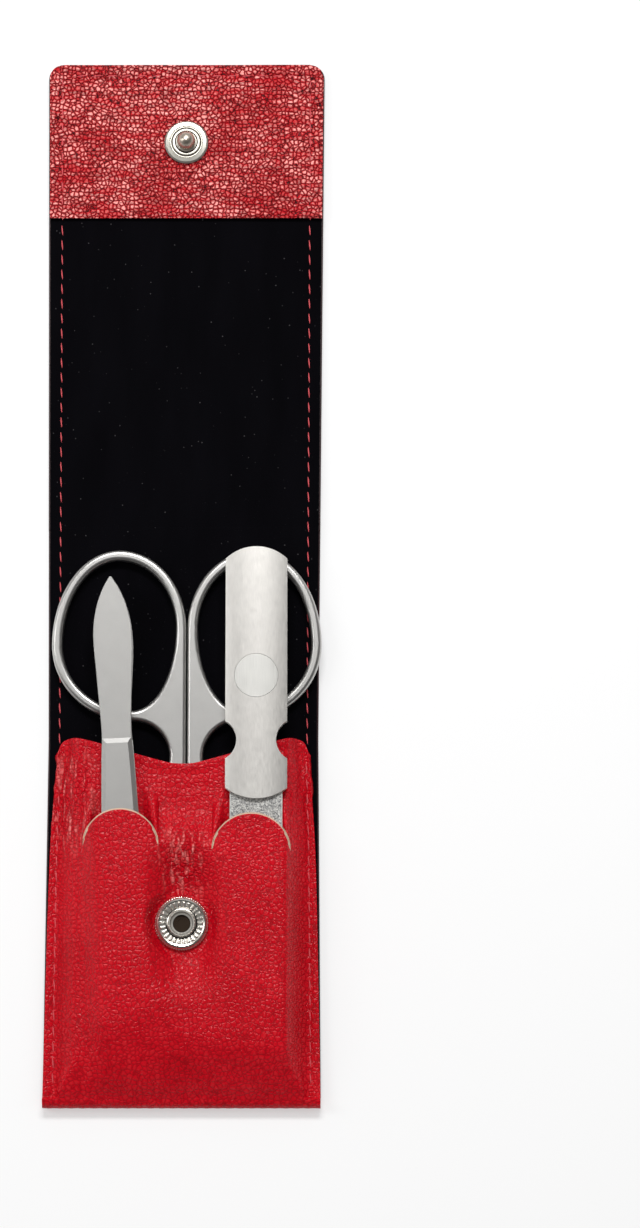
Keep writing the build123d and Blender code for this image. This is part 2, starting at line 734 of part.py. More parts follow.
front_arm_z = tool_z + tweezer_arm_t + tip_gap
with BuildPart() as tweezer_front_arm:
    with BuildSketch(tweezer_bench(front_arm_z, arm_tilt)):
        add(tweezer_outline(box_side, True))
    extrude(amount=tweezer_box_t)
    box_top = tweezer_front_arm.faces().sort_by(Axis.Z)[-1]
    chamfer(box_top.edges(), 0.35, 0.55)
    with BuildSketch(tweezer_bench(front_arm_z, arm_tilt)):
        add(tweezer_outline(leaf_side, False))
    extrude(amount=leaf_t)
    add(weld_bead(weld_radius + fit_gap, weld_width + 0.4), mode=Mode.SUBTRACT)
tweezer_front_arm.part.label = "tweezer_front_arm"


# ---- Nail file: a grit-faced blade between two handle sheets, held by one flush rivet ----
def crown(height, rise):
    """A bar as wide as the handle, with a round back that stands rise above its edges."""
    low_y = tools_top_y - handle_length
    with BuildPart() as bar:
        with BuildSketch(Plane.XZ.offset(-low_y)):
            with BuildLine():
                left, right = file_x - handle_half, file_x + handle_half
                ThreePointArc((left, height), (file_x, height + rise), (right, height))
                Polyline((right, height), (right, tool_z), (left, tool_z), (left, height))
            make_face()
        extrude(amount=-handle_length)
    return bar.part


def handle_sheet(height, amount, spot):
    """One sheet of the handle: round ends, a notch on each side and a hole for the rivet's head."""
    top = tools_top_y
    side_top = top - handle_crown
    foot = top - handle_length
    side_foot = foot + handle_tail
    with BuildPart() as sheet:
        with BuildSketch(Plane.XY.offset(height)):
            with BuildLine():
                left, right = file_x - handle_half, file_x + handle_half
                ThreePointArc((left, side_top), (file_x, top), (right, side_top))
                Line((right, side_top), (right, side_foot))
                ThreePointArc((right, side_foot), (file_x, foot), (left, side_foot))
                Line((left, side_foot), (left, side_top))
            make_face()
            notch_reach = handle_half + notch_radius - notch_depth
            notch_y = top - notch_drop
            with Locations((file_x - notch_reach, notch_y), (file_x + notch_reach, notch_y)):
                Circle(notch_radius, mode=Mode.SUBTRACT)
            with Locations((file_x, top - spot_drop)):
                Circle(spot, mode=Mode.SUBTRACT)
        extrude(amount=amount)
    return sheet.part


blade_core_t = 0.8
blade_z = tool_z + handle_sheet_t + grit_t
core_t = blade_core_t + 2 * grit_t
file_handle_back = handle_sheet(tool_z, handle_sheet_t, spot_radius + fit_gap)
file_handle_back.label = "file_handle_back"
front_edge_z = tool_z + handle_sheet_t + core_t
front_reach = handle_sheet_t + handle_rise
front_crown = crown(front_edge_z + handle_sheet_t, handle_rise)
with BuildPart() as file_handle_front:
    add(handle_sheet(front_edge_z, front_reach, spot_radius + fit_gap))
    add(front_crown, mode=Mode.INTERSECT)
file_handle_front.part.label = "file_handle_front"

handle_foot_y = tools_top_y - handle_length
spot_y = tools_top_y - spot_drop
tang_half = handle_half - notch_depth - 0.3
tang_top_y = tools_top_y - handle_crown - 0.8
blade_shoulder_y = spot_y - notch_drop + spot_drop - notch_radius
blade_tip_round = 3.0


def blade_outline(high_y, inset):
    """The blade from high_y down to its round tip."""
    half = file_blade_width / 2 - inset
    low_y = file_end_y + inset
    with BuildSketch() as outline:
        with BuildLine():
            Line((file_x - half, high_y), (file_x + half, high_y))
            Line((file_x + half, high_y), (file_x + half, low_y + 2 * blade_tip_round))
            Spline(
                (file_x + half, low_y + 2 * blade_tip_round),
                (file_x, low_y),
                (file_x - half, low_y + 2 * blade_tip_round),
                tangents=((0, -1), (0, 1)),
            )
            Line((file_x - half, low_y + 2 * blade_tip_round), (file_x - half, high_y))
        make_face()
    return outline.sketch


with BuildPart() as file_blade:
    core_z = tool_z + handle_sheet_t
    with BuildSketch(Plane.XY.offset(core_z)):
        with Locations((file_x, tang_top_y)):
            Rectangle(2 * tang_half, tang_top_y - blade_shoulder_y, align=(Align.CENTER, Align.MAX))
        with Locations((file_x, spot_y)):
            Circle(spot_radius + 0.4)
    extrude(amount=core_t)
    with BuildSketch(Plane.XY.offset(blade_z)):
        add(blade_outline(blade_shoulder_y, 0.0))
    extrude(amount=blade_core_t)
    with BuildSketch(Plane.XY.offset(core_z)):
        with Locations((file_x, spot_y)):
            Circle(file_pin_radius + fit_gap)
    extrude(amount=core_t, mode=Mode.SUBTRACT)
file_blade.part.label = "file_blade"


def grit_layer(height):
    """Sapphire grit on one face of the blade, down from just inside the handle's foot."""
    with BuildPart() as layer:
        with BuildSketch(Plane.XY.offset(height)):
            add(blade_outline(handle_foot_y + handle_tail + 2.0, 0.15))
        extrude(amount=grit_t)
    return layer.part


file_grit_back = grit_layer(blade_z - grit_t)
file_grit_back.label = "file_grit_back"
file_grit_front = grit_layer(blade_z + blade_core_t)
file_grit_front.label = "file_grit_front"

with BuildPart() as file_rivet:
    for level, radius, amount in (
        (tool_z, spot_radius, handle_sheet_t),
        (tool_z + handle_sheet_t, file_pin_radius, core_t),
        (front_edge_z, spot_radius, front_reach),
    ):
        with BuildSketch(Plane.XY.offset(level)):
            with Locations((file_x, spot_y)):
                Circle(radius)
        extrude(amount=amount)
    add(front_crown, mode=Mode.INTERSECT)
file_rivet.part.label = "file_rivet"

pieces = [
    back_leather.part,
    back_lining.part,
    pocket_front.part,
    pocket_divider.part,
    snap_socket,
    socket_spring.part,
    socket_rivet,
    fold_leather.part,
    fold_lining.part,
    flap_leather.part,
    flap_lining.part,
    flap_facing.part,
    snap_stud.part,
    stud_rivet,
    scissor_half_left,
    scissor_half_right,
    scissor_screw.part,
    tweezer_back_arm.part,
    tweezer_front_arm.part,
    file_blade.part,
    file_grit_back,
    file_grit_front,
    file_handle_back,
    file_handle_front.part,
    file_rivet.part,
]
for piece in pieces:
    export_step(piece, f"parts/{piece.label}.step")
print("nodes", len(pieces))
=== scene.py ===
import math

import bpy
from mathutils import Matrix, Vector


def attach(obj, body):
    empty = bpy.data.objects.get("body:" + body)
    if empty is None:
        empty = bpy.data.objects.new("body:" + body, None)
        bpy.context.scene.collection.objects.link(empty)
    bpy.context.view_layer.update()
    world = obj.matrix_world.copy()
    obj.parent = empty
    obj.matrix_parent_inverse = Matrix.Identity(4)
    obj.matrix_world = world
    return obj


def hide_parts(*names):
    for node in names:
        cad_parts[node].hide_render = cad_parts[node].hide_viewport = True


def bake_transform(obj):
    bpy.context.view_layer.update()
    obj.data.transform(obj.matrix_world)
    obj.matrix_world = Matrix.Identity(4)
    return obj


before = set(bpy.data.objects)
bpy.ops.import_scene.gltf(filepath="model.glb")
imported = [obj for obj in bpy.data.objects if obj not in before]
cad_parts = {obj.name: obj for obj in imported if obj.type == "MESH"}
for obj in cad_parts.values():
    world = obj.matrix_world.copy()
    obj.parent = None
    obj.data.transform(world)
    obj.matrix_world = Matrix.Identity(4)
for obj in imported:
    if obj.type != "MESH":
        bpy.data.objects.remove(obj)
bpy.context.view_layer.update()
bpy.ops.object.select_all(action="DESELECT")
mm = 0.001


# ---- Finishes ----
# Materials and the sky are worked out node by node, at places in millimetres on the piece.
class Tone:
    """A value or colour inside a finish. Sums and products of it add the nodes that reckon them."""

    def __init__(self, finish, socket):
        self.finish = finish
        self.socket = socket

    def reckon(self, operation, first, second):
        return self.finish.node("Math", {"operation": operation}, {0: first, 1: second})

    def __add__(self, other):
        return self.reckon("ADD", self, other)

    def __radd__(self, other):
        return self.reckon("ADD", other, self)

    def __sub__(self, other):
        return self.reckon("SUBTRACT", self, other)

    def __rsub__(self, other):
        return self.reckon("SUBTRACT", other, self)

    def __mul__(self, other):
        return self.reckon("MULTIPLY", self, other)

    def __rmul__(self, other):
        return self.reckon("MULTIPLY", other, self)


class Finish:
    """A material or a sky that is put together node by node."""

    def __init__(self, name, sky=None):
        self.owner = sky or bpy.data.materials.new(name)
        self.owner.use_nodes = True
        self.tree = self.owner.node_tree
        self.tree.nodes.clear()

    def node(self, kind, settings=None, sockets=None, out=0):
        made = self.tree.nodes.new("ShaderNode" + kind)
        for name, value in (settings or {}).items():
            if name == "stops":
                while len(made.color_ramp.elements) < len(value):
                    made.color_ramp.elements.new(0.5)
                for stop, (place, shade) in zip(made.color_ramp.elements, value):
                    stop.position = place
                    stop.color = (*shade, 1)
            else:
                setattr(made, name, value)
        for name, value in (sockets or {}).items():
            if isinstance(value, Tone):
                self.tree.links.new(value.socket, made.inputs[name])
            else:
                made.inputs[name].default_value = value
        return Tone(self, made.outputs[out])

    def end(self, surface):
        output = "OutputMaterial" if isinstance(self.owner, bpy.types.Material) else "OutputWorld"
        last = self.tree.nodes.new("ShaderNode" + output)
        self.tree.links.new(surface.socket, last.inputs["Surface"])
        return self.owner

    def millimetres(self, stretch=(1, 1, 1), turn=0.0, centre=(0, 0, 0)):
        """The place on the piece, in millimetres, stretched along its axes if asked."""
        place = self.node("TexCoord", out="Object")
        scale = [1000 / s for s in stretch]
        offset = [-c / s for c, s in zip(centre, stretch)]
        sockets = {"Vector": place, "Location": offset, "Rotation": (0, 0, turn), "Scale": scale}
        return self.node("Mapping", {}, sockets)

    def between(self, value, low, high, start=0.0, end=1.0):
        """value taken from low..high to start..end along a smooth curve."""
        spread = {"Value": value, "From Min": low, "From Max": high, "To Min": start, "To Max": end}
        return self.node("MapRange", {"interpolation_type": "SMOOTHSTEP"}, spread)

    def blend(self, share, first, second):
        sockets = {0: share, 6: first, 7: second}
        return self.node("Mix", {"data_type": "RGBA"}, sockets, out=2)

    def mottle(self, share, shade, darkest):
        """shade where share is 1, falling to this part of itself where share is 0."""
        return self.blend(share, (*[c * darkest for c in shade], 1), (*shade, 1))

    def length(self, vector):
        return self.node("VectorMath", {"operation": "LENGTH"}, {0: vector}, out=1)

    def noise(self, place, scale, detail, out=0, **more):
        sockets = {"Vector": place, "Scale": scale, "Detail": detail, **more}
        return self.node("TexNoise", {}, sockets, out)

    def cells(self, place, scale, randomness=1.0, feature="F1", out=0):
        sockets = {"Vector": place, "Scale": scale, "Randomness": randomness}
        return self.node("TexVoronoi", {"feature": feature}, sockets, out)

    def bump(self, height, strength, depth):
        sockets = {"Height": height, "Strength": strength, "Distance": depth * mm}
        return self.node("Bump", {}, sockets)


endless = 1e6  # a stretch so long that it leaves its axis out


def dress(names, finish):
    """Gives pieces of the frame their finish."""
    for name in names:
        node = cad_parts[name]
        node.data.materials.clear()
        node.data.materials.append(finish)


# ---- View, light and floor ----
# The case lies on a white table and is looked at from almost straight above, down a long lens.
# One big soft lamp stands beyond the flap's tip and a smaller one at the left. The room is white
# where it is seen. Where it is mirrored it has a pale ceiling, pale walls and a dark band between.
target = Vector((24.9, -6.8, 0)) * mm
camera_height = math.radians(81)
camera_distance = 0.75
away = Vector((0, -math.cos(camera_height), math.sin(camera_height)))
bpy.ops.object.camera_add(
    location=target + camera_distance * away, rotation=(math.pi / 2 - camera_height, 0, 0)
)
camera = bpy.context.object
camera.data.lens = 119.8
camera.data.sensor_width = 36
camera.data.clip_start = 0.01
bpy.context.scene.camera = camera
bpy.context.scene.view_settings.view_transform = "Standard"

sky = Finish("pale room", bpy.context.scene.world or bpy.data.worlds.new("pale room"))
bpy.context.scene.world = sky.owner
seen = sky.node("LightPath", out="Is Camera Ray")
mirrored = sky.node("LightPath", out="Is Glossy Ray")
refracted = sky.node("LightPath", out="Is Transmission Ray")
direct = sky.node("Math", {"operation": "MAXIMUM"}, {0: seen, 1: refracted})
upward = sky.node("SeparateXYZ", {}, {0: sky.node("TexCoord", out="Generated")}, out="Z")
fill = 0.42
overhead = sky.between(upward, 0.93, 1.0, 0.05, 0.46)
low_wall = sky.between(upward, 0.55, 0.05, 0.0, 0.55)
strength = fill + direct * (1 - fill) + mirrored * (overhead + low_wall - fill)
sky.end(sky.node("Background", {}, {"Color": (1, 1, 1, 1), "Strength": strength}))


def soft_lamp(name, place, size, watts):
    bpy.ops.object.light_add(type="AREA", location=place)
    lamp = bpy.context.object
    lamp.name = name
    lamp.data.shape = "RECTANGLE"
    lamp.data.size, lamp.data.size_y = size
    lamp.data.energy = watts
    aim = Vector((0, 0, 0)) - Vector(place)
    lamp.rotation_euler = aim.to_track_quat("-Z", "Y").to_euler()


soft_lamp("far softbox", (0.02, 0.40, 0.62), (0.34, 0.13), 3.9)
soft_lamp("left softbox", (-0.42, 0.08, 0.42), (0.12, 0.34), 0.7)

table_top = (0, 0, -0.05 * mm)
bpy.ops.mesh.primitive_grid_add(x_subdivisions=8, y_subdivisions=8, size=4, location=table_top)
floor = bpy.context.object
floor.name = "table"
bpy.ops.object.transform_apply(location=True)
paint = Finish("white table")
seen = paint.node("LightPath", out="Is Camera Ray")
card = paint.node("BsdfPrincipled", {}, {"Base Color": (0.93, 0.93, 0.93, 1), "Roughness": 0.75})
glow = paint.node("Emission", {}, {"Color": (1, 1, 1, 1), "Strength": 1.0})
glowing = paint.between(paint.length(paint.millimetres()), 300, 1300, 0.45, 1.0)
plain = paint.node("MixShader", {}, {0: glowing, 1: card, 2: glow})
floor.data.materials.append(paint.end(paint.node("MixShader", {}, {0: seen, 1: card, 2: plain})))


# ---- The strip: one length of red leather, back, fold and flap ----
# Goat leather a millimetre thick, cut to a strip that runs from the pocket's bottom fold to the
# flap's tip. Its cut edges are dyed dark. On the case it bends at two folds just beyond the tools'
# ends; here it lies open and flat, in two halves that meet between those folds.
def red_leather(
    name, pebble, glint_paint, valley_light, crease=0.0, relief=0.26, polish=0.17, along=(4.5, 1, 1), drawn=()
):
    """Dyed goat leather: round pebbles, with painted shade in the near-black valleys between them.

    glint_paint is how far the pebbles' tops are painted pale as a painted highlight, valley_light
    how light the valleys stay under their painted shade, crease how deep the creases are and how
    dark their painted shade is, and along how they are stretched. drawn lists patches, as (x, y,
    reach across, reach down), where the leather is drawn into wrinkles with painted highlights on
    their crests.
    """
    hide = Finish(name)
    place = hide.millimetres()
    shifted = {0: hide.noise(place, 1.0, 2.0, out=1), 1: (0.55, 0.55, 0.55), 2: place}
    bent = hide.node("VectorMath", {"operation": "MULTIPLY_ADD"}, shifted)
    valley = hide.cells(bent, 1 / pebble, 0.85, "DISTANCE_TO_EDGE")
    small = hide.cells(bent, 2.3 / pebble, 1.0, "DISTANCE_TO_EDGE")
    dome = hide.between(valley, -0.10, 0.34)
    crack = hide.between(valley, 0.012, 0.105)
    peak = hide.between(valley, 0.12, 0.36)
    grit = hide.between(small, -0.05, 0.3)
    pores = hide.noise(place, 7.0, 3.0)
    patches = hide.noise(place, 0.11, 4.0)
    folds = hide.noise(hide.millimetres(along), 1.0, 4.0, Distortion=0.8)
    flow = hide.between(folds, 0.46, 0.5) * hide.between(folds, 0.54, 0.5) * crease
    pull = 0.0
    for x, y, across, down in drawn:
        away = hide.length(hide.millimetres((across, down, endless), centre=(x, y, 0)))
        pull = pull + hide.between(away, 1.0, 0.2)
    depth = 1.0 + 1.2 * pull
    grain = (dome * 0.75 + grit * 0.14 + pores * 0.07) * depth
    height = grain + folds * (crease + 1.1 * pull) - flow
    normal = hide.bump(height, 1.0, relief)
    deep = hide.blend(patches, (0.44, 0.0006, 0.006, 1), (0.66, 0.001, 0.012, 1))
    # Painted highlight: the pebbles' tops, in patches and wavy bands, and the crests of the drawn
    # wrinkles are painted pale pink in place of the lamp's glints.
    ridge_glint = hide.between(folds, 0.5, 0.68) * (0.25 + dome)
    patchy = hide.between(patches, 0.35, 0.6, 0.35, 1.0)
    glint_share = patchy * hide.between(folds, 0.40, 0.58, 0.3, 1.25) * glint_paint
    wear_and_glints = (peak * 1.2 + dome * 0.24) * glint_share + 0.5 * pull * ridge_glint
    highlighted = hide.blend(wear_and_glints, deep, (1.0, 0.37, 0.34, 1))
    # Painted shade: the valleys between the pebbles and the flow creases are painted near black.
    clear = (crack * (1 - valley_light) + valley_light) * (1 - 1.2 * flow)
    colour = hide.blend(clear, (0.03, 0.0002, 0.0008, 1), highlighted)
    rough = polish + 0.12 * (1 - dome) + 0.12 * (pores - 0.5)
    look = {"Base Color": colour, "Roughness": rough, "Normal": normal, "Specular IOR Level": 0.17}
    return hide.end(hide.node("BsdfPrincipled", {}, look))


def edge_paint(name, shade):
    """Edge dye brushed onto a cut edge, a little uneven."""
    dye = Finish(name)
    uneven = dye.noise(dye.millimetres(), 1.6, 3.0)
    colour = dye.mottle(uneven, shade, 0.6)
    normal = dye.bump(uneven, 0.4, 0.08)
    look = {"Base Color": colour, "Roughness": 0.5, "Normal": normal}
    return dye.end(dye.node("BsdfPrincipled", {}, look))


outer_leather = red_leather(
    "red goat leather, outside",
    pebble=0.9, glint_paint=0.12, valley_light=0.45, crease=0.2, relief=0.16, along=(1, 3.5, 1),
)
edge_dye = edge_paint("dark edge dye", (0.035, 0.004, 0.007))

tip_y, bottom_y, waist_y = 97.0, -97.0, -30.2
half_tip, half_waist, half_bottom = 25.8, 24.6, 25.05
nose = 1.6
nose_y = bottom_y + nose
fold_low, fold_high, fold_z = 4.73, 12.97, 1.6
fold_mid = (fold_low + fold_high) / 2
tip_round = 2.7


def half_width(y):
    """Half the strip's width: it is narrowest at its waist and widens evenly to both ends."""
    end_y, half_end = (tip_y, half_tip) if y > waist_y else (bottom_y, half_bottom)
    return half_waist + (y - waist_y) / (end_y - waist_y) * (half_end - half_waist)


def cut_sheet(name, columns, rows, place):
    """A flat grid whose points are moved to their places on the pattern."""
    bpy.ops.mesh.primitive_grid_add(x_subdivisions=columns, y_subdivisions=rows, size=1)
    sheet = bpy.context.object
    sheet.name = name
    for point in sheet.data.vertices:
        point.co = Vector(place(point.co.x + 0.5, point.co.y + 0.5)) * mm
    return sheet


def select_only(*pieces):
    """Selects these pieces and makes the first one active."""
    bpy.ops.object.select_all(action="DESELECT")
    for piece in pieces:
        piece.select_set(True)
    bpy.context.view_layer.objects.active = pieces[0]


def thicken(piece, thickness, rounding, limit=55, edge_index=-1):
    """Gives a sheet its thickness downwards and rounds the corners of its cut edges."""
    wall = piece.modifiers.new("thickness", "SOLIDIFY")
    wall.thickness = thickness * mm
    wall.offset = -1
    wall.use_even_offset = True
    wall.material_offset_rim = 1
    soft = piece.modifiers.new("rounding", "BEVEL")
    soft.width = rounding * mm
    soft.segments = 2
    soft.limit_method = "ANGLE"
    soft.angle_limit = math.radians(limit)
    soft.use_clamp_overlap = True
    soft.material = edge_index
    select_only(piece)
    for modifier in ("thickness", "rounding"):
        bpy.ops.object.modifier_apply(modifier=modifier)
    bpy.ops.object.shade_smooth_by_angle(angle=math.radians(50))


def strip_place(low_y, high_y, height, inset, corner):
    """A stretch of the strip: straight rows across, and round corners at its tip if asked."""

    def place(u, v):
        if corner:
            v = math.sin(v * math.pi / 2) if v > 0.5 else v * math.sin(math.pi / 4) * 2
        y = low_y + v * (high_y - low_y)
        half = half_width(y) - inset
        if corner and y > high_y - corner:
            rise = min(corner, y - (high_y - corner))
            half -= corner - math.sqrt(max(0.0, corner * corner - rise * rise))
        return ((2 * u - 1) * half, y, height)

    return place


def seam_sink(distance, depth, reach):
    """How far a seam at this distance pulls the leather in."""
    return depth * math.exp(-((distance / reach) ** 2))


leather_t = 1.0
seam_x, seam_in = 22.85, 2.35
seam_half = 25.2  # where the strip is this wide each way, the side seams run at seam_x


def side_seam(y):
    """How far from the middle the side seams run: they follow the strip's edges half-way."""
    return seam_x + (half_width(y) - seam_half) * 0.5


overlap, step_down = 0.4, 0.004  # the upper halves lie a hair lower where the halves overlap
far_off = 9  # stands for a seam or cut that doesn't run here
dyed_edge = 0.75
strip_rows, hide_columns = 168, 104
hide_lower = cut_sheet(
    "hide_lower", hide_columns, strip_rows,
    strip_place(nose_y, fold_mid + overlap, leather_t, 0.0, 0.0),
)
hide_upper = cut_sheet(
    "hide_upper", hide_columns, strip_rows,
    strip_place(fold_mid - overlap, tip_y, leather_t - step_down, 0.0, tip_round),
)
for piece in (hide_lower, hide_upper):
    piece.data.materials.append(outer_leather)
    piece.data.materials.append(edge_dye)
    thicken(piece, leather_t, 0.3, edge_index=1)
    for point in piece.data.vertices:
        x, y, z = point.co / mm
        if z < 0.2:
            across_tip = abs(tip_y - y - seam_in) if abs(x) < half_width(y) - 2 else far_off
            seam = min(abs(abs(x) - side_seam(y)), across_tip)
            point.co.z += seam_sink(seam, 0.22, 0.6) * mm
    for face in piece.data.polygons:
        from_side = half_width(face.center.y / mm) - abs(face.center.x) / mm
        if from_side < dyed_edge and face.center.z > leather_t / 2 * mm:
            face.material_index = 1
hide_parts("back_leather", "fold_leather")
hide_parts("flap_leather")
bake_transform(hide_lower)
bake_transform(hide_upper)


# ---- Lining: black velour glued to the inside of the strip ----
# A short-napped velour, set in a third of a millimetre from the leather's edges, that the tools
# lie against. On the case it bends with the leather at the two folds; here it lies flat in two
# halves, as the leather does.
def velour(name):
    """Short black pile: nearly no shine, a faint cold sheen and a few caught specks of dust."""
    nap = Finish(name)
    place = nap.millimetres()
    pile = nap.noise(place, 6.0, 5.0)
    brushed = nap.noise(nap.millimetres((1, 3.5, 1)), 0.16, 3.0)
    dots = nap.cells(place, 0.8)
    size = nap.noise(place, 0.5, 1.0)
    speck = nap.between(dots, 0.13, 0.05) * nap.between(size, 0.50, 0.62)
    ground = nap.blend(brushed, (0.0010, 0.0009, 0.0013, 1), (0.0030, 0.0027, 0.0040, 1))
    colour = nap.blend(speck, ground, (0.05, 0.047, 0.05, 1))
    normal = nap.bump(pile, 0.7, 0.12)
    look = {"Base Color": colour, "Roughness": 0.95, "Normal": normal, "Specular IOR Level": 0.03}
    look.update({"Sheen Weight": 0.012, "Sheen Roughness": 0.5, "Sheen Tint": (0.5, 0.5, 0.8, 1)})
    return nap.end(nap.node("BsdfPrincipled", {}, look))


black_velour = velour("black velour")
lining_t, lining_inset = 0.6, 0.3
floor_z = leather_t + lining_t
lining_columns = 40
lining_lower = cut_sheet(
    "lining_lower", lining_columns, strip_rows,
    strip_place(nose_y, fold_mid + overlap, floor_z, lining_inset, 0.0),
)
lining_upper = cut_sheet(
    "lining_upper", lining_columns, strip_rows,
    strip_place(
        fold_mid - overlap, tip_y - lining_inset, floor_z - step_down, lining_inset, tip_round
    ),
)
for piece in (lining_lower, lining_upper):
    piece.data.materials.append(black_velour)
    piece.data.materials.append(black_velour)
    thicken(piece, lining_t - 0.02, 0.15)
for piece, low, high, support in (
    (lining_lower, nose_y, fold_mid + overlap, "hide_lower"),
    (lining_upper, fold_mid - overlap, tip_y - lining_inset, "hide_upper"),
):
    steps = [low + (high - low) * (i + 0.5) / 50 for i in range(50)]
    width = 2 * (sum(half_width(y) for y in steps) / len(steps) - lining_inset)
    width * mm
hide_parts("back_lining", "fold_lining")
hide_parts("flap_lining")
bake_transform(lining_lower)
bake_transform(lining_upper)


# ---- Facing: the leather patch inside the flap's tip ----
# A second piece of the same leather, sewn over the lining to carry the snap's stud. Its grain
# carries strong painted highlights, its lower edge is turned under, and the seam round it sinks
# into the leather.
facing_edge_y, facing_t = 67.3, 0.7
facing_top = floor_z + facing_t
facing_inset = 0.22
stud_y = 81.8
facing_leather = red_leather(
    "red goat leather, facing", pebble=0.78, glint_paint=1.0, valley_light=0.03, crease=0.35
)


def facing_place(u, v):
    outline = strip_place(facing_edge_y, tip_y - facing_inset, facing_top, facing_inset, tip_round)
    x, y, z = outline(u, v)
    half = half_width(y)
    from_side = half - abs(x)
    from_tip = tip_y - y
    across_tip = abs(from_tip - seam_in) if from_side > 2 else far_off
    seam = min(abs(abs(x) - seam_x - (half - seam_half)), across_tip)
    turned = 0.16 * math.exp(-((y - facing_edge_y - 0.7) / 0.7) ** 2)
    swell = 0.12 * math.sin(x * 0.19 + 1.1) * math.sin(y * 0.23 + x * 0.05)
    plate = math.hypot(x, y - stud_y)
    pressed = 0.14 * math.exp(-((max(0.0, plate - 3.9) / 1.1) ** 2))
    edge = 0.14 * math.exp(-((min(from_side, from_tip) / 0.7) ** 2))
    z += (0.05 + swell) * min(1.0, plate / 9.0) + turned - pressed - edge
    return (x, y, z - seam_sink(seam, 0.16, 0.55))


facing = cut_sheet("facing", 150, 96, facing_place)
facing.data.materials.append(facing_leather)
facing.data.materials.append(edge_dye)
thicken(facing, facing_t - 0.06, 0.2)
for face in facing.data.polygons:
    if face.material_index == 1 and face.center.y < (facing_edge_y + 0.3) * mm:
        face.material_index = 0
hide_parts("flap_facing")
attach(facing, "flap")


# ---- Threads: red lockstitch down both sides and round the flap ----
# Twisted polyester thread, about nine stitches to the inch. Each stitch shows as a short, slightly
# slanted bar that dips into a needle hole at both ends, on the inside and on the outside.
def thread(name, shade):
    """Twisted thread: a diagonal ply on a soft red."""
    yarn = Finish(name)
    place = yarn.millimetres(turn=0.7)
    twist = {"Vector": place, "Scale": 1.6, "Distortion": 0.6}
    ply = yarn.node("TexWave", {"wave_type": "BANDS"}, twist)
    colour = yarn.mottle(ply, shade, 0.55)
    normal = yarn.bump(ply, 0.6, 0.06)
    look = {"Base Color": colour, "Roughness": 0.55, "Normal": normal, "Sheen Weight": 0.02}
    return yarn.end(yarn.node("BsdfPrincipled", {}, look))


red_thread = thread("red thread", (0.86, 0.10, 0.12))
stitch_pitch, stitch_length, stitch_slant = 2.8, 2.0, 0.09
thread_width, thread_height = 0.248, 0.2


def stitch_row(name, places):
    """Stitches at (x, y, z, direction) places, each a bar with sunken round ends, in one piece."""
    bpy.ops.object.select_all(action="DESELECT")
    bpy.ops.mesh.primitive_uv_sphere_add(segments=8, ring_count=8, radius=0.5)
    first = bpy.context.object
    for point in first.data.vertices:
        along = point.co.z * 2
        fat = 1.0 - 0.25 * along * along
        rise = 0.10 * (1 - along * along) - 0.06
        x, height = point.co.x * thread_width * fat, point.co.y * thread_height * fat + rise
        point.co = Vector((x, along * stitch_length / 2, height))
    bars = []
    for x, y, z, direction in places:
        bar = first.copy()
        bar.data = first.data.copy()
        bpy.context.collection.objects.link(bar)
        bar.location = Vector((x, y, z)) * mm
        bar.rotation_euler = (0, 0, direction + stitch_slant)
        bar.scale = (mm, mm, mm)
        bars.append(bar)
    bpy.data.objects.remove(first)
    select_only(*bars)
    bpy.ops.object.join()
    row = bpy.context.object
    row.name = name
    bpy.ops.object.transform_apply(location=True, rotation=True, scale=True)
    bpy.ops.object.shade_smooth()
    row.data.materials.append(red_thread)
    return row


def side_places(low_y, high_y, height):
    """Stitches down both sides of the strip between two places along it, at the machine's pitch."""
    places = []
    top_y = tip_y - seam_in - 1.5
    for step in range(math.ceil((top_y - low_y) / stitch_pitch)):
        y = top_y - step * stitch_pitch
        if y < high_y:
            places += [(side * side_seam(y), y, height, 0.0) for side in (-1, 1)]
    return places


def end_places(height):
    """Stitches across the flap's tip."""
    y, each_way = tip_y - seam_in, 7
    steps = range(-each_way, each_way + 1)
    return [(step * stitch_pitch, y, height, math.pi / 2) for step in steps]


pocket_top_y = -32.0
halves_meet_y = fold_mid - 1.0
facing_stitch_y, last_stitch_y = facing_edge_y - 0.6, tip_y - 2
inside_z, on_facing_z, outside_z = floor_z + 0.04, facing_top - 0.12, 0.07
inner_low = stitch_row(
    "stitches_inside_lower", side_places(pocket_top_y + 1.5, halves_meet_y, inside_z)
)
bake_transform(inner_low)
inner_high = stitch_row(
    "stitches_inside_upper", side_places(halves_meet_y, facing_stitch_y, inside_z)
)
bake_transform(inner_high)
facing_stitches = stitch_row(
    "stitches_facing",
    side_places(facing_stitch_y, last_stitch_y, on_facing_z) + end_places(on_facing_z),
)
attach(facing_stitches, "flap")
outer_low = stitch_row("stitches_outside_lower", side_places(nose_y + 3, halves_meet_y, outside_z))
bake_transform(outer_low)
outer_high = stitch_row(
    "stitches_outside_upper",
    side_places(halves_meet_y, last_stitch_y, outside_z) + end_places(outside_z),
)
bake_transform(outer_high)


# ---- Pocket front: one leather with two arch-cut tongues ----
# The strip's own leather folded up at the bottom and sewn down its sides. Two arches are cut
# through it: the tweezers and the file pass in front of the leather above each arch and behind
# the tongue below it. The cut edges show the undyed middle of the hide.
pocket_t = 0.7
pocket_top = 5.35
flange_top = floor_z + pocket_t
shoulder_x = 18.5
end_rise_y = -87.0
tweezer_tip, tweezer_turn = (-13.2, -1.3), math.radians(2.68)
arch_tweezers = (-11.1, -50.4, 6.9)
arch_file = (12.5, -51.3, 7.1)
arches = (arch_tweezers, arch_file)
file_x = 13.35
drawn_at = ((-20.5, -41.0, 6.5, 13.0), (0.5, -53.0, 6.5, 9.0))
pocket_leather = red_leather(
    "red goat leather, pocket",
    pebble=0.85, glint_paint=0.02, valley_light=0.6, relief=0.12, polish=0.2, along=(1, 4.5, 1), drawn=drawn_at,
)


def eased(value, low, high):
    """0 up to low, 1 from high on, and a smooth step between them."""
    share = min(1.0, max(0.0, (value - low) / (high - low)))
    return share * share * (3 - 2 * share)


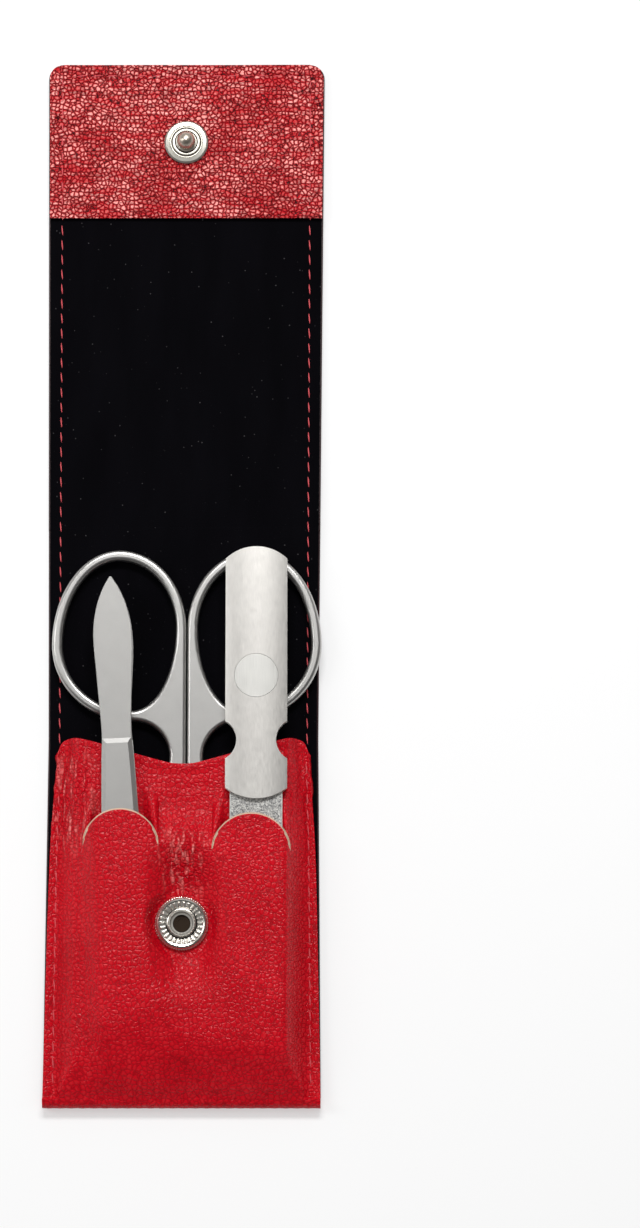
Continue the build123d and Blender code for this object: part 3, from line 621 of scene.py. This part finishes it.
def through(points, at):
    """A smooth curve through (place, value) points, level before the first and after the last."""
    last = len(points) - 1
    if at <= points[0][0] or at >= points[last][0]:
        return points[0][1] if at <= points[0][0] else points[last][1]
    i = max(k for k in range(last) if points[k][0] <= at)
    slopes = []
    for k in (i, i + 1):
        before, after = points[max(0, k - 1)], points[min(last, k + 1)]
        slopes.append((after[1] - before[1]) / (after[0] - before[0]))
    run = points[i + 1][0] - points[i][0]
    t = (at - points[i][0]) / run
    start, end = points[i][1], points[i + 1][1]
    return (
        start * (1 + 2 * t) * (1 - t) ** 2 + slopes[0] * run * t * (1 - t) ** 2
        + end * t * t * (3 - 2 * t) + slopes[1] * run * t * t * (t - 1)
    )


def pocket_half(y):
    """Half the pocket front's width: its sides draw in towards the mouth."""
    sides = [(nose_y, 25.0), (end_rise_y, 24.85), (-52, 24.1), (-40, 23.4), (pocket_top_y, 22.7)]
    return through(sides, y)


def pocket_seam(y):
    """How far from the middle the pocket's side seams run."""
    return seam_x + (pocket_half(y) - 24.1) * 0.4


def mouth_y(x):
    """The mouth dips in the middle and turns down at the corners."""
    dips = [(0, -35.1), (2.3, -34.9), (8.4, -33.3), (14.6, -31.5), (18.6, -30.5), (20.6, -30.3)]
    corner = [(21.6, -30.6), (22.3, -31.3), (22.7, -32.5)]
    return through(dips + corner, abs(x))


def tweezer_line(y):
    """Where the tweezers' middle line is."""
    return tweezer_tip[0] + (tweezer_tip[1] - y) * math.tan(tweezer_turn)


socket_y, socket_clear = -64.1, 4.95
flap_rest, flap_reach_y = 8.78, -49  # under the closed flap the leather stays below this height


def bulge(x, y):
    """How far the leather stands off its flat top: taut over the two front tools, else slack."""
    line = tweezer_line(y)
    tweezers = [(-94.5, 0), (-89.5, 1.0), (-82, 2.75), (-76, 3.1), (-64.1, 3.27), (-50.4, 3.42)]
    file = [(-94.5, 0), (-91, 0.8), (-86.2, 2.4), (-80, 2.8), (-64, 2.85), (-42, 2.85)]
    over_tweezers, over_file = through(tweezers, y), through(file, y)
    crown = over_tweezers + (over_file - over_tweezers) * eased(x, line, file_x)
    beside_tweezers = eased(line - x, 3.2, 9.0) if x < line else eased(x - line, 3.3, 9.5)
    beside_file = eased(file_x - x, 4.9, 10.5) if x < file_x else eased(x - file_x, 4.6, 9.4)
    from_socket = math.hypot(x, y - socket_y)
    outside = max(eased(line - x, 0, 8), eased(x - file_x, 0, 8))
    slack = 1 - 0.85 * eased(from_socket, 5.5, 15.0) * (1 - outside)
    share = 1 - beside_tweezers * beside_file * slack
    return crown * share * eased(from_socket, socket_clear, 6.9)


def spot(x, y, centre, reach):
    """1 at an oval's centre, fading to 0 beyond its reach."""
    return math.exp(-(((x - centre[0]) / reach[0]) ** 2) - ((y - centre[1]) / reach[1]) ** 2)


def wrinkles(x, y):
    """Folds that the two cuts draw into the leather beside and between them."""
    left = spot(x, y, (-20.6, -40.5), (3.4, 7.5))
    middle = spot(x, y, (0.6, -51.5), (4.0, 5.0))
    right = spot(x, y, (21.5, -41.5), (2.6, 6.5))
    across = spot(x, y, (1.0, -40.0), (6.0, 3.5))
    upright = math.sin(x * 4.1 + 1.1 * math.sin(y * 0.55) + 0.5 * math.sin(y * 1.7 + x))
    level = math.sin(y * 2.6 + 0.9 * math.sin(x * 0.8 + 1.0))
    return 0.16 * upright * (left + right + middle) + 0.06 * level * (middle + across)


def pocket_height(x, y, stood_off):
    """Height of the pocket's outer face; stood_off is the share of the bulge that it has here."""
    end_rise = [(nose_y, 2 * nose), (-93.8, 4.0), (-91, 4.85), (end_rise_y, pocket_top)]
    top = through(end_rise + [(-80, pocket_top)], y)
    shoulder = shoulder_x + 3.4 * (1 - eased(y, nose_y, end_rise_y))
    seam = min(pocket_half(y) - 1.6, 22.4)
    base = min(flange_top, top - 0.2)
    outward = min(1.0, max(0.0, (abs(x) - shoulder) / (seam - shoulder)))
    drop = 1 - math.cos(outward * math.pi / 2) * (1 - 0.25 * outward * outward)
    height = top + (base - top) * drop + bulge(x, y) * stood_off * (1 - drop)
    if abs(x) > seam:
        height -= seam_sink(abs(x) - pocket_seam(y), 0.22, 0.5)
    pinched = math.exp(-((y + 93.5) / 3.0) ** 2)
    puckers = math.sin(x * 3.3 + 1.5 * math.sin(x * 0.9)) + 0.5 * math.sin(x * 5.9 + 0.7)
    swell = 0.10 * math.sin(x * 0.31 + y * 0.13) * math.sin(y * 0.21 - 0.4) * (1 - drop)
    lip = 0.2 * math.exp(-((mouth_y(x) - y - 0.6) / 0.8) ** 2)
    height += pinched * 0.07 * puckers + swell + lip + wrinkles(x, y)
    return min(height, flap_rest) if y < flap_reach_y else height


def arch_line(x):
    """Where the arches are cut, and a line between them where the leather isn't cut."""
    for centre_x, centre_y, radius in arches:
        reach = radius * radius - (x - centre_x) ** 2
        if reach >= 0:
            return centre_y + math.sqrt(reach)
    share = eased(x, arch_tweezers[0] + arch_tweezers[2], arch_file[0] - arch_file[2])
    return arch_tweezers[1] + share * (arch_file[1] - arch_tweezers[1])


def into_arch(x):
    """How far inside an arch's sides this is, in millimetres; 0 outside both arches."""
    return max(0.0, *[r - abs(x - c) for c, _, r in arches])


column_counts = (18, 44, 28, 44, 16)
columns = [(part, i / count) for part, count in enumerate(column_counts) for i in range(count)]
columns.append((4, 1.0))


def column_x(u, y):
    """Columns stand closer at the arches' sides, and only the outer ones follow the edges."""
    part, share = columns[round(u * (len(columns) - 1))]
    if part in (1, 3):
        centre_x, _, radius = arches[part // 2]
        return centre_x - radius * math.cos(math.pi * share)
    stops = [c + side * r for c, _, r in arches for side in (-1, 1)]
    stops = [-pocket_half(y), *stops, pocket_half(y)]
    return stops[part] + share * (stops[part + 1] - stops[part])


nose_rows, body_rows, upper_rows = 10, 120, 48
skive, undyed_width = 0.3, 0.5


def skived(x, y):
    """The raw edge of a tongue slopes down over its last third of a millimetre."""
    drop = 0.0
    for centre_x, centre_y, radius in arches:
        from_edge = radius - math.hypot(x - centre_x, y - centre_y)
        if y > centre_y and from_edge > -0.1:
            drop = 0.26 * eased(from_edge, skive, 0.0) * eased(y, centre_y, centre_y + 2.0)
    return drop


def lower_place(u, v):
    """From under the bottom fold, round it, and up to the arches."""
    row = round(v * (nose_rows + body_rows))
    if row < nose_rows:
        angle = -math.pi / 2 + math.pi * row / nose_rows
        x = column_x(u, nose_y)
        ripple = 1 + 0.015 * math.sin(x * 3.1) * math.cos(angle)
        return (x, nose_y - nose * math.cos(angle) * ripple, nose + nose * math.sin(angle))
    share = (row - nose_rows) / (body_rows - 1)
    inside = into_arch(column_x(u, arch_tweezers[1])) > 0
    last = arch_line(column_x(u, arch_tweezers[1]))
    edge = skive if inside else 0.4
    y = last if row == nose_rows + body_rows else nose_y + share * (last - edge - nose_y)
    x = column_x(u, y)
    return (x, y, pocket_height(x, y, 1.0) - skived(x, y) if row > nose_rows else 2 * nose)


def upper_place(u, v):
    """From the arches up to the mouth, behind the tools."""
    low = arch_line(column_x(u, arch_tweezers[1]))
    high = mouth_y(column_x(u, pocket_top_y))
    y = low + v * (high - low)
    x = column_x(u, y)
    stood_off = (1 - eased(y - low, 0.0, 8.0)) * (1 - eased(into_arch(x), 0.0, 2.9))
    return (x, y, pocket_height(x, y, stood_off))


lower_front = cut_sheet("pocket_leather", len(columns) - 1, nose_rows + body_rows, lower_place)
upper_front = cut_sheet("pocket_leather_upper", len(columns) - 1, upper_rows, upper_place)
select_only(lower_front, upper_front)
bpy.ops.object.join()
bpy.ops.object.mode_set(mode="EDIT")
bpy.ops.mesh.select_all(action="SELECT")
bpy.ops.mesh.remove_doubles(threshold=0.02 * mm)
bpy.ops.mesh.select_all(action="DESELECT")
bpy.ops.object.mode_set(mode="OBJECT")
hole_radius = 2.6
for face in lower_front.data.polygons:
    from_socket = math.hypot(face.center.x, face.center.y - socket_y * mm)
    face.select = from_socket < hole_radius * mm and face.center.z > 3 * mm
bpy.ops.object.mode_set(mode="EDIT")
bpy.ops.mesh.delete(type="FACE")
bpy.ops.object.mode_set(mode="OBJECT")
lower_front.data.materials.append(pocket_leather)
lower_front.data.materials.append(edge_paint("undyed middle of the hide", (0.72, 0.5, 0.36)))
thicken(lower_front, pocket_t, 0.16, limit=65)
for face in lower_front.data.polygons:
    x, y, z = face.center / mm
    if face.material_index == 1:
        cuts = [abs(math.hypot(x - c, y - h) - r) for c, h, r in arches if y > h - 1]
        face.material_index = 1 if min(cuts, default=far_off) < undyed_width else 0
    elif skived(x, y) > 0.02 and z > pocket_top + 1.2:
        face.material_index = 1
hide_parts("pocket_front")
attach(lower_front, "case")

pocket_stitches = stitch_row(
    "stitches_pocket",
    [
        (math.copysign(pocket_seam(y), x), y, flange_top - 0.16, 0.0)
        for x, y, _, _ in side_places(nose_y + 2, pocket_top_y - 1, 0)
    ],
)
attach(pocket_stitches, "case")
dress(("pocket_divider",), black_velour)


# ---- Snap fastener: a stud on the flap, a ring-spring socket on the pocket ----
# Pressed brass, nickel plated. The stud's ball stands on a dished flange. The socket is a cup with
# a serrated rim and a ribbed face. In its shaded mouth are a split spring ring and the end of the
# rivet that holds it on the leather.
def plated(name, shade, rough, centre=None, shadow_rings=(), core_reflection=None):
    """Bright plate, faintly scuffed; painted shadow rings at its steps, and a warm middle painted
    as a reflection if asked.
    """
    plate = Finish(name)
    wear_and_glints = plate.noise(plate.millimetres(), 1.3, 4.0)
    colour = plate.mottle(wear_and_glints, shade, 0.84)
    if centre:
        radius = plate.length(plate.millimetres((1, 1, endless), centre=(*centre, 0)))
        for at, width in shadow_rings:
            ring_shadow = plate.between(radius, at - width, at) * plate.between(radius, at + width, at)
            # Painted shadow: each ring at a step is darkened almost to black.
            colour = plate.blend(plate.between(ring_shadow, 0.0, 0.5), colour, (0.02, 0.015, 0.012, 1))
        # Painted reflection: the ball's middle is tinted warm, as it looks mirroring the room.
        if core_reflection:
            inside = plate.between(radius, core_reflection[0] + 0.05, core_reflection[0])
            colour = plate.blend(inside, colour, (*core_reflection[1], 1))
    roughness = rough + 0.10 * (wear_and_glints - 0.4)
    look = {"Base Color": colour, "Metallic": 1.0, "Roughness": roughness}
    return plate.end(plate.node("BsdfPrincipled", {}, look))


nickel = plated("bright nickel", (0.80, 0.76, 0.70), 0.2)
# The stud's nickel is a darker copy of the socket's, a painted shade that tames the far lamp's
# glare on its flange; its rings are painted shadow and its ball's warm middle a painted reflection.
stud_nickel = plated(
    "white nickel, stud", (0.58, 0.56, 0.50), 0.36,
    centre=(0, stud_y), shadow_rings=((2.72, 0.16), (2.04, 0.2)), core_reflection=(1.72, (0.66, 0.58, 0.49)),
)
# The socket's ring at the step round its mouth is painted shadow.
socket_nickel = plated(
    "white nickel, socket", (0.86, 0.82, 0.74), 0.27, centre=(0, socket_y), shadow_rings=((2.75, 0.14),)
)
shaded_brass = plated("shaded brass, inside the socket", (0.05, 0.035, 0.025), 0.5)
dress(("stud_rivet",), nickel)
dress(("socket_spring", "socket_rivet"), shaded_brass)
dress(("snap_stud",), stud_nickel)
dress(("snap_socket",), socket_nickel)

socket_radius, teeth, tooth_depth = 4.65, 64, 0.09
bpy.ops.object.select_all(action="DESELECT")
bpy.ops.mesh.primitive_torus_add(
    major_radius=socket_radius * mm, minor_radius=0.2 * mm,
    major_segments=6 * teeth, minor_segments=8,
    location=(0, socket_y * mm, (pocket_top + 0.35) * mm),
)
serration = bpy.context.object
serration.name = "socket_serration"
bpy.ops.object.transform_apply(location=True)
for point in serration.data.vertices:
    spoke = Vector((point.co.x, point.co.y - socket_y * mm, 0))
    tooth = math.cos(math.atan2(spoke.y, spoke.x) * teeth)
    point.co += spoke.normalized() * tooth_depth * tooth * mm
bpy.ops.object.shade_smooth()
serration.data.materials.append(nickel)
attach(serration, "case")

rib_count, rib_height, face_in, face_out = 26, 0.2, 2.86, 3.92
face_z = pocket_top + 1.06


def face_place(u, v):
    """The socket's face, with a ring of short pressed ribs."""
    angle = 2 * math.pi * u
    radius = face_in + v * (face_out - face_in)
    ribbed = eased(v, 0.02, 0.16) * eased(v, 0.98, 0.84)
    ribbed *= eased(math.cos(rib_count * angle), -0.2, 0.6)
    height = face_z + 0.16 * v + rib_height * ribbed
    return (radius * math.cos(angle), socket_y + radius * math.sin(angle), height)


socket_face = cut_sheet("socket_face", rib_count * 12, 12, face_place)
socket_face.data.materials.append(socket_nickel)
bpy.ops.object.shade_smooth()
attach(socket_face, "case")
bpy.ops.mesh.primitive_cylinder_add(
    vertices=48, radius=1.0 * mm, depth=0.2 * mm,
    location=(0, socket_y * mm, (pocket_top + 0.15) * mm),
)
rivet_end = bpy.context.object
rivet_end.name = "socket_rivet_end"
bpy.ops.object.transform_apply(location=True)
rivet_end.data.materials.append(shaded_brass)
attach(rivet_end, "case")


# ---- Scissors: two stainless halves lapped at a screw ----
# Forged stainless steel, blasted to a satin. The rings are round on both sides, and the flat shanks
# meet along one straight line. The blades lie in the main pocket, behind its front leather.
def satin_steel(name, shade, rough, grain=1.0, brushed=(1, 1, 1), depth=0.018):
    """Stainless steel, blasted or brushed: fine even grain and faint clouds."""
    steel = Finish(name)
    blasted = steel.noise(steel.millimetres(brushed), 9.0 * grain, 4.0)
    cloud = steel.noise(steel.millimetres(), 0.35, 2.0)
    colour = steel.mottle(0.6 * blasted + 0.4 * cloud, shade, 0.8)
    normal = steel.bump(blasted, 0.6, depth)
    roughness = rough + 0.14 * (blasted - 0.5)
    look = {"Base Color": colour, "Metallic": 1.0, "Roughness": roughness, "Normal": normal}
    return steel.end(steel.node("BsdfPrincipled", {}, look))


blasted_steel = satin_steel("satin steel, scissors", (0.62, 0.61, 0.59), 0.36)
dress(("scissor_half_left", "scissor_half_right", "scissor_screw"), blasted_steel)


# ---- Tweezers: two spring arms welded at the foot ----
# Stainless strip, blasted matt. The front arm's leaf-shaped end drops from a boxed grip with
# bevelled sides; the back arm lies flat on the pocket's upper leather.
matt_steel = satin_steel("matt steel, tweezers", (0.60, 0.59, 0.57), 0.42)
dress(("tweezer_back_arm",), matt_steel)

arm_z, arm_fall, sheet_t = 8.2, 0.02338, 0.5
shoulder_start, shoulder_end = 29.5, 30.4
leaf_t, grip_t = 0.6, 1.03
foot_start, arm_end, foot_half = 77.8, 80.0, 2.7
bevel_foot = 0.52
arm_half = [(0.0, 0.2), (2.2, 1.5), (5.5, 2.75), (10.2, 3.5), (18.0, 3.2), (28.5, 2.68)]
arm_half += [(33.0, 2.9), (43.5, 3.3), (56.0, 3.5), (70.0, 3.35), (foot_start, foot_half)]
arm_half.append((arm_end, 2.2))
arm_rows = [0.0, 0.15, 0.4, 0.8, 1.3, 1.9] + [2.6 + 0.7 * i for i in range(38)]
arm_rows += [shoulder_start, shoulder_end] + [31.2 + 1.35 * i for i in range(35)]
arm_rows += [foot_start + (arm_end - foot_start) * math.sin(i * math.pi / 16) for i in range(9)]
arm_columns = 10


def arm_place(u, v):
    """The front arm: a flat leaf, a sloped shoulder, and a grip whose long sides are bevelled."""
    along = arm_rows[round(v * (len(arm_rows) - 1))]
    column = round(u * arm_columns) - arm_columns // 2
    half = through(arm_half, along)
    if along > foot_start:
        rounding = (along - foot_start) / (arm_end - foot_start)
        half = foot_half * math.sqrt(max(0.0004, 1 - rounding**2))
    grip = min(1.0, max(0.0, (along - shoulder_start) / (shoulder_end - shoulder_start)))
    bevel = min(0.3 * half, 0.1 + 0.68 * grip)
    across, rise = (half - bevel) * column / 4, leaf_t + (grip_t - leaf_t) * grip
    if abs(column) == arm_columns // 2:
        across, rise = math.copysign(half, column), bevel_foot
    x = tweezer_tip[0] + across * math.cos(tweezer_turn) + along * math.sin(tweezer_turn)
    y = tweezer_tip[1] + across * math.sin(tweezer_turn) - along * math.cos(tweezer_turn)
    return (x, y, arm_z - arm_fall * along + rise)


front_arm = cut_sheet("tweezers_front_arm", arm_columns, len(arm_rows) - 1, arm_place)
bpy.ops.object.mode_set(mode="EDIT")
bpy.ops.mesh.select_all(action="SELECT")
bpy.ops.mesh.flip_normals()
bpy.ops.object.mode_set(mode="OBJECT")
front_arm.data.materials.append(matt_steel)
thicken(front_arm, sheet_t, 0.08, limit=60)
bpy.ops.object.shade_smooth_by_angle(angle=math.radians(14))
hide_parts("tweezer_front_arm")
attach(front_arm, "tweezers_front")


# ---- Nail file: a grit-faced blade in a folded handle ----
# The handle is thin stainless sheet, brushed along its length, and a rivet's ground head shows in
# it. The blade's faces carry crushed sapphire in a nickel bond.
brushed_steel = satin_steel(
    "brushed steel, file handle", (0.98, 0.95, 0.90), 0.34, 0.5, (1, 6, 1), 0.003
)
ground_steel = satin_steel(
    "ground steel, rivet head", (0.84, 0.83, 0.79), 0.40, 0.8, (1, 22, 1), 0.02
)
dress(("file_handle_back", "file_handle_front"), brushed_steel)
dress(("file_rivet",), ground_steel)


def sapphire(name):
    """Crushed sapphire held in nickel: bright and dark grains, sharp to the touch."""
    stone = Finish(name)
    place = stone.millimetres()
    tone = stone.node("SeparateXYZ", {}, {0: stone.cells(place, 5.5, out=1)}, out=0)
    clumps = stone.noise(place, 1.4, 4.0)
    stops = [(0.0, (0.03, 0.03, 0.032)), (0.35, (0.25, 0.25, 0.25))]
    stops += [(0.7, (0.62, 0.61, 0.58)), (1.0, (0.85, 0.84, 0.8))]
    shade = stone.node("ValToRGB", {"stops": stops}, {0: 0.62 * tone + 0.5 * clumps})
    normal = stone.bump(tone, 1.0, 0.07)
    look = {"Base Color": shade, "Metallic": 0.55, "Roughness": 0.45, "Normal": normal}
    return stone.end(stone.node("BsdfPrincipled", {}, look))


dress(("file_grit_back", "file_grit_front"), sapphire("sapphire grit"))
dress(("file_blade",), ground_steel)
